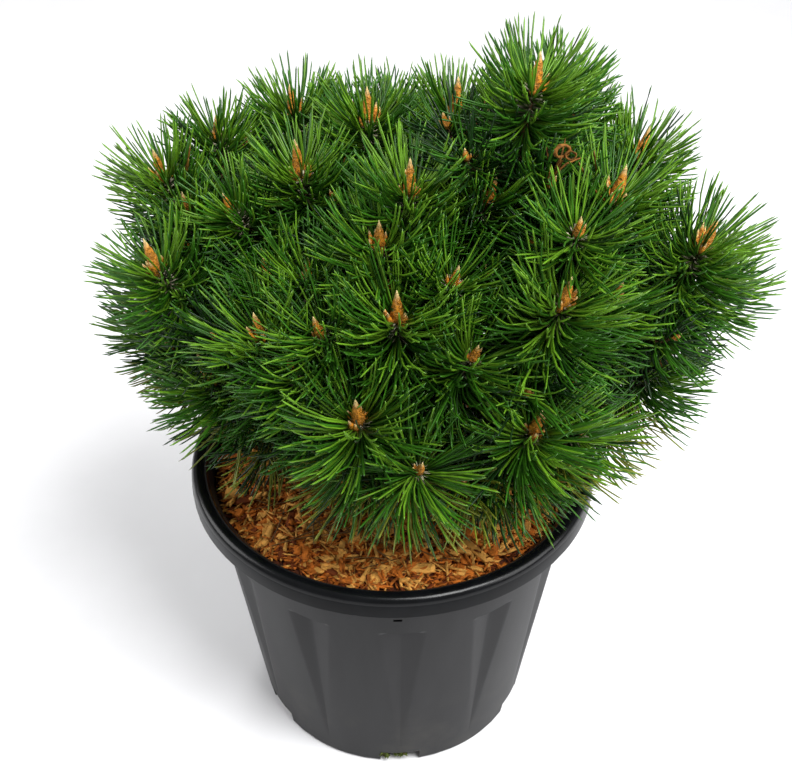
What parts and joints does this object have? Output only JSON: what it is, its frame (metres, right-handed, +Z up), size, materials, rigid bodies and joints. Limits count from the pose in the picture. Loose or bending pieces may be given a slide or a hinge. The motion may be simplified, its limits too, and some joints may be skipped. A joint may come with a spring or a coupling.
{
  "type": "potted mugo pine",
  "caption": "Compact dwarf mountain pine with dense tufts of long needles, in a round tapered nursery pot with a rolled lip, topped with wood-chip mulch.",
  "frame": {"origin": "centre of the pot's flat underside, on the surface it stands on", "axes": "+Z up, -Y towards the front that the picture shows, +X to the right in that view"},
  "size_m": [0.4849, 0.415, 0.5585],
  "materials": {
    "pot": "satin dark charcoal polypropylene, slightly glossier on the lip",
    "substrate": "dark moist peat and bark compost",
    "chips": "loose orange-brown wood chips and fine strands",
    "bark": "rough brown pine bark",
    "needles": "fresh to deep green pine needles with orange-brown buds"
  },
  "bodies": {
    "root": {"back_bough": "bark", "back_high_bough": "bark", "back_high_needles": "needles", "back_left_bough": "bark", "back_left_high_bough": "bark", "back_left_high_needles": "needles", "back_left_needles": "needles", "back_needles": "needles", "back_right_bough": "bark", "back_right_high_bough": "bark", "back_right_high_needles": "needles", "back_right_needles": "needles", "front_bough": "bark", "front_high_bough": "bark", "front_high_needles": "needles", "front_needles": "needles", "front_right_bough": "bark", "front_right_high_bough": "bark", "front_right_high_needles": "needles", "front_right_needles": "needles", "left_back_bough": "bark", "left_back_needles": "needles", "left_bough": "bark", "left_front_bough": "bark", "left_front_needles": "needles", "left_low_bough": "bark", "left_low_needles": "needles", "left_needles": "needles", "left_rear_bough": "bark", "left_rear_needles": "needles", "pot": "pot", "right_back_bough": "bark", "right_back_needles": "needles", "right_bough": "bark", "right_high_bough": "bark", "right_high_needles": "needles", "right_low_bough": "bark", "right_low_needles": "needles", "right_needles": "needles", "right_rear_bough": "bark", "right_rear_needles": "needles", "substrate": "substrate", "top_back_bough": "bark", "top_back_needles": "needles", "top_bough": "bark", "top_front_bough": "bark", "top_front_needles": "needles", "top_left_bough": "bark", "top_left_needles": "needles", "top_low_bough": "bark", "top_low_needles": "needles", "top_needles": "needles", "top_right_bough": "bark", "top_right_needles": "needles", "trunk": "bark", "wood_chip_mulch": "chips"}
  },
  "joints": []
}
